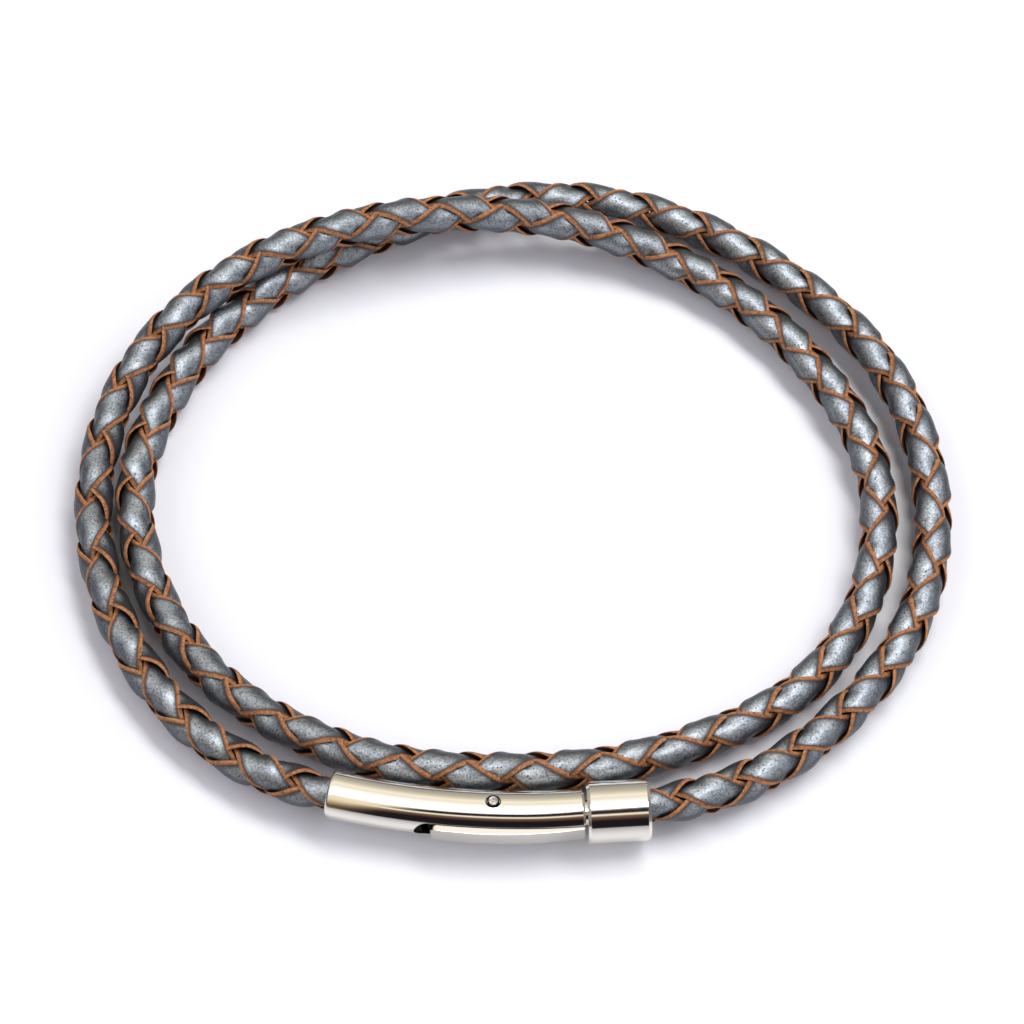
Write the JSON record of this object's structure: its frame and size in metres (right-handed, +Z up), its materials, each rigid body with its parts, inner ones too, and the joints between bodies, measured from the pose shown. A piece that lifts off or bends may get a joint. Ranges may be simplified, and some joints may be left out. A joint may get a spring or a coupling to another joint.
{
  "type": "double-wrap braided leather bracelet",
  "caption": "Round braided leather cord bracelet that wraps the wrist twice, closed by a polished steel clasp with a press lever.",
  "frame": {"origin": "on the surface it lies on, at the middle of its outline", "axes": "+Z up from the surface, +X along its longest width, the clasp at the front towards -Y"},
  "size_m": [0.0654, 0.0557, 0.0062],
  "materials": {
    "polished_steel": "mirror polished",
    "riveted_steel": "ground flush",
    "metallic_leather": "pewter metallic grain with raw tan cut edges"
  },
  "bodies": {
    "bracelet": {"clasp_barrel": "polished_steel", "lever_pin": "riveted_steel", "clasp_ring": "polished_steel", "strand_1": "metallic_leather", "strand_2": "metallic_leather", "strand_3": "metallic_leather", "strand_4": "metallic_leather"},
    "lever": {"clasp_lever": "polished_steel"}
  },
  "joints": [
    {"name": "lever_press", "type": "hinge", "parent": "bracelet", "child": "lever", "pos_m": [-0.0013, -0.02541, 0.00225], "axis": [0, 0, -1], "range_deg": [0, 7], "stiffness_Nm_per_rad": 0.02}
  ]
}
